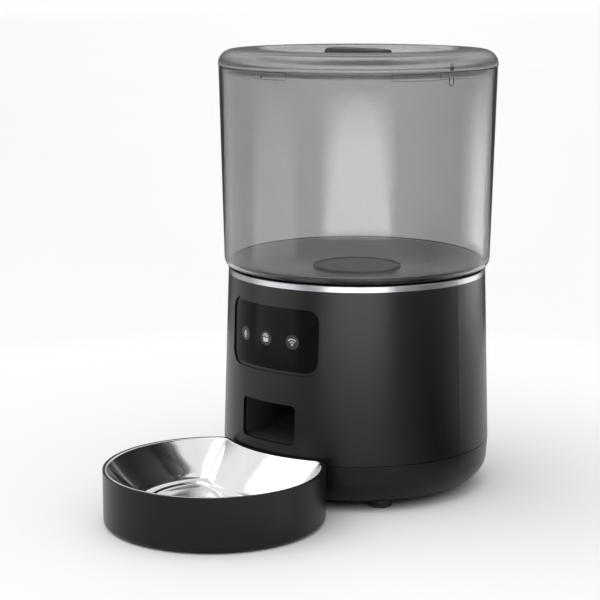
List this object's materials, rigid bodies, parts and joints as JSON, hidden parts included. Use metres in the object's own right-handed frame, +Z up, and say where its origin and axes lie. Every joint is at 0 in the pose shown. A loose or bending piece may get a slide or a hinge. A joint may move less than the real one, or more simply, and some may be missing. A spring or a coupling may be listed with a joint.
{
  "type": "automatic pet feeder",
  "caption": "Countertop automatic feeder: smoked twist-lid hopper on a dark base with a motor-driven metering drum, push buttons and a lift-out steel bowl.",
  "frame": {"origin": "centre of the whole object's footprint, on the surface it stands on", "axes": "+Z up, -Y to the front where the bowl is, +X to the right of someone looking at the front"},
  "size_m": [0.1954, 0.3152, 0.3082],
  "materials": {
    "shell_plastic": "fine matte moulded ABS",
    "deck_plastic": "matte moulded ABS",
    "chute_plastic": "satin moulded ABS",
    "bright_ring": "satin bright trim",
    "foot_rubber": "matte rubber",
    "screw_steel": "zinc-plated steel",
    "panel_gloss": "gloss black lens",
    "button_plastic": "satin dark grey",
    "circuit_board": "solder-masked glass epoxy",
    "switch_plastic": "moulded",
    "can_metal": "tinned steel",
    "drum_plastic": "natural ABS",
    "bush_bronze": "sintered bronze",
    "motor_steel": "plated steel can",
    "shaft_steel": "ground steel",
    "gear_plastic": "acetal",
    "impeller_silicone": "soft silicone",
    "contact_metal": "nickel-plated spring steel",
    "speaker_steel": "black frame",
    "cone_paper": "pulp cone",
    "tank_smoke": "smoked translucent plastic",
    "hopper_dark": "satin dark plastic",
    "seal_silicone": "silicone",
    "bowl_steel": "polished stainless steel"
  },
  "bodies": {
    "base": {"bottom_shell": "shell_plastic", "body_shell": "shell_plastic", "chrome_ring": "bright_ring", "deck": "deck_plastic", "rubber_feet": "foot_rubber", "base_screws": "screw_steel", "control_panel": "panel_gloss", "control_board": "circuit_board", "tact_switches": "switch_plastic", "microphone": "can_metal", "control_screws": "screw_steel", "drum_case": "drum_plastic", "drum_cover": "drum_plastic", "drum_screws": "screw_steel", "cover_screws": "screw_steel", "shaft_bushes": "bush_bronze", "gear_motor": "motor_steel", "motor_screws": "screw_steel", "food_chute": "chute_plastic", "battery_box": "drum_plastic", "battery_contacts": "contact_metal", "battery_springs": "contact_metal", "bay_screws": "screw_steel", "main_board": "circuit_board", "board_parts": "switch_plastic", "wireless_module": "can_metal", "board_screws": "screw_steel", "power_socket": "switch_plastic", "speaker": "speaker_steel", "speaker_cone": "cone_paper"},
    "battery_door": {"battery_door": "deck_plastic"},
    "impeller": {"impeller": "impeller_silicone", "drive_shaft": "shaft_steel", "driven_gear": "gear_plastic", "shaft_clips": "shaft_steel"},
    "motor_pinion": {"pinion": "gear_plastic", "motor_shaft": "shaft_steel"},
    "record_button": {"record_button": "button_plastic"},
    "feed_button": {"feed_button": "button_plastic"},
    "network_button": {"network_button": "button_plastic"},
    "tank": {"tank_shell": "tank_smoke", "hopper_floor": "hopper_dark"},
    "lid_seal": {"lid_seal": "seal_silicone"},
    "lid": {"lid_cap": "tank_smoke", "lid_liner": "tank_smoke"},
    "bowl_holder": {"bowl_holder": "shell_plastic", "holder_pads": "foot_rubber"},
    "steel_bowl": {"steel_bowl": "bowl_steel"}
  },
  "joints": [
    {"name": "impeller_spin", "type": "hinge", "parent": "base", "child": "impeller", "pos_m": [0, 0.0599, 0.1144], "axis": [1, 0, 0], "continuous": true},
    {"name": "pinion_spin", "type": "hinge", "parent": "base", "child": "motor_pinion", "pos_m": [0, 0.09655, 0.10106], "axis": [1, 0, 0], "continuous": true},
    {"name": "tank_lift", "type": "slide", "parent": "base", "child": "tank", "axis": [0, 0, 1], "range_m": [0, 0.06]},
    {"name": "lid_lift", "type": "slide", "parent": "tank", "child": "lid_seal", "axis": [0, 0, 1], "range_m": [0, 0.05]},
    {"name": "lid_twist", "type": "hinge", "parent": "lid_seal", "child": "lid", "pos_m": [0, 0.0599, 0.3], "axis": [0, 0, 1], "range_deg": [0, 20]},
    {"name": "bowl_pull", "type": "slide", "parent": "base", "child": "bowl_holder", "axis": [0, -1, 0], "range_m": [0, 0.05]},
    {"name": "bowl_lift", "type": "slide", "parent": "bowl_holder", "child": "steel_bowl", "axis": [0, 0, 1], "range_m": [0, 0.04]},
    {"name": "battery_door_swing", "type": "hinge", "parent": "base", "child": "battery_door", "pos_m": [0, 0.1284, 0.00575], "axis": [1, 0, 0], "range_deg": [0, 80]},
    {"name": "record_button_press", "type": "slide", "parent": "base", "child": "record_button", "axis": [0.2656, 0.9641, 0], "range_m": [0, 0.0006], "stiffness_N_per_m": 400, "springref_m": -0.001},
    {"name": "feed_button_press", "type": "slide", "parent": "base", "child": "feed_button", "axis": [0.0227, 0.9997, 0], "range_m": [0, 0.0006], "stiffness_N_per_m": 400, "springref_m": -0.001},
    {"name": "network_button_press", "type": "slide", "parent": "base", "child": "network_button", "axis": [-0.2215, 0.9751, 0], "range_m": [0, 0.0006], "stiffness_N_per_m": 400, "springref_m": -0.001}
  ],
  "couplings": [
    {"joint": "pinion_spin", "follows": "impeller_spin", "ratio": -3.3333}
  ]
}
